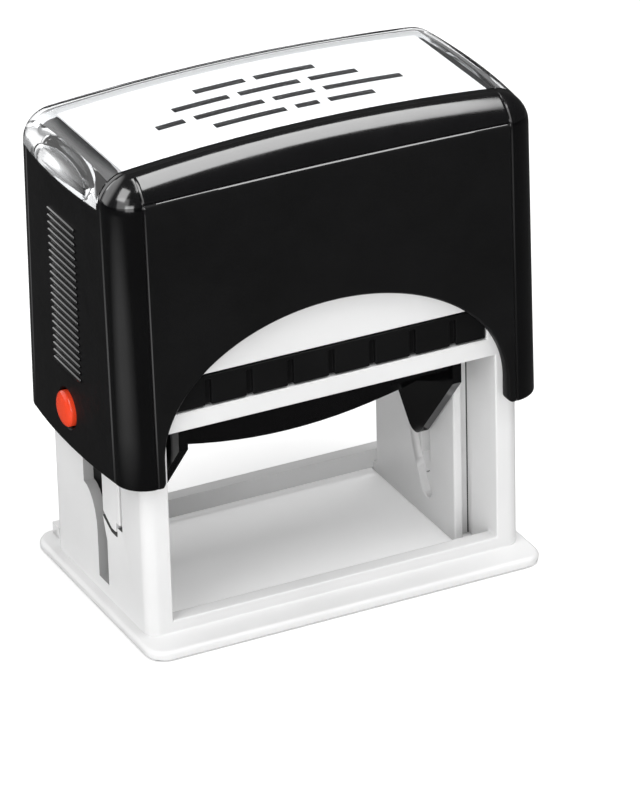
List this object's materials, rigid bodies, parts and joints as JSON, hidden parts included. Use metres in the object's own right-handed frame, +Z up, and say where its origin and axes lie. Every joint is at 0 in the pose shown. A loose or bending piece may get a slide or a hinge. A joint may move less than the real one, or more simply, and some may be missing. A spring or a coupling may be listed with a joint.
{
  "type": "self inking stamp",
  "caption": "Self inking stamp: a sprung black cover slides down over a white frame and turns the inked die half round onto the paper below.",
  "frame": {"origin": "centre of the base's underside, where the stamp stands on the paper", "axes": "+X along the stamp to its right end, -Y the front with the windowed side seen in the picture, +Z up"},
  "size_m": [0.0884, 0.0536, 0.0938],
  "materials": {
    "white_plastic": "satin white moulded plastic",
    "black_plastic": "black moulded plastic, satin panels and glossy rims",
    "clear_plastic": "clear glossy moulded plastic",
    "white_card": "plain white paper card",
    "red_plastic": "orange red moulded plastic",
    "inked_felt": "felt soaked with black ink",
    "die_rubber": "dull engraved rubber",
    "grey_foam": "fine closed cell foam",
    "spring_steel": "drawn steel wire"
  },
  "bodies": {
    "frame": {"base_frame": "white_plastic", "lock_tongue_left": "white_plastic", "lock_tongue_right": "white_plastic", "ink_cartridge": "black_plastic", "ink_pad": "inked_felt", "return_spring_left": "spring_steel", "return_spring_right": "spring_steel"},
    "cover": {"cover_shell": "black_plastic", "yoke": "white_plastic", "index_card": "white_card"},
    "platen": {"platen": "black_plastic", "die_cushion": "grey_foam", "rubber_die": "die_rubber", "pivot_pin_left": "spring_steel", "pivot_pin_right": "spring_steel"},
    "window": {"index_window": "clear_plastic"},
    "button_left": {"lock_button_left": "red_plastic"},
    "button_right": {"lock_button_right": "red_plastic"}
  },
  "joints": [
    {"name": "cover_press", "type": "slide", "parent": "frame", "child": "cover", "axis": [0, 0, -1], "range_m": [0, 0.022], "stiffness_N_per_m": 420, "springref_m": -0.01, "deforming": ["return_spring_left", "return_spring_right"]},
    {"name": "platen_flip", "type": "hinge", "parent": "cover", "child": "platen", "pos_m": [0, 0, 0.0335], "axis": [-1, 0, 0], "range_deg": [0, 180]},
    {"name": "window_lift", "type": "slide", "parent": "cover", "child": "window", "axis": [0, 0, 1], "range_m": [0, 0.012]},
    {"name": "button_left_press", "type": "slide", "parent": "cover", "child": "button_left", "axis": [1, 0, 0], "range_m": [0, 0.001], "stiffness_N_per_m": 1500, "springref_m": -0.0005},
    {"name": "button_right_press", "type": "slide", "parent": "cover", "child": "button_right", "axis": [-1, 0, 0], "range_m": [0, 0.001], "stiffness_N_per_m": 1500, "springref_m": -0.0005}
  ],
  "couplings": [
    {"joint": "platen_flip", "follows": "cover_press", "rad_per_m": 142.8}
  ]
}
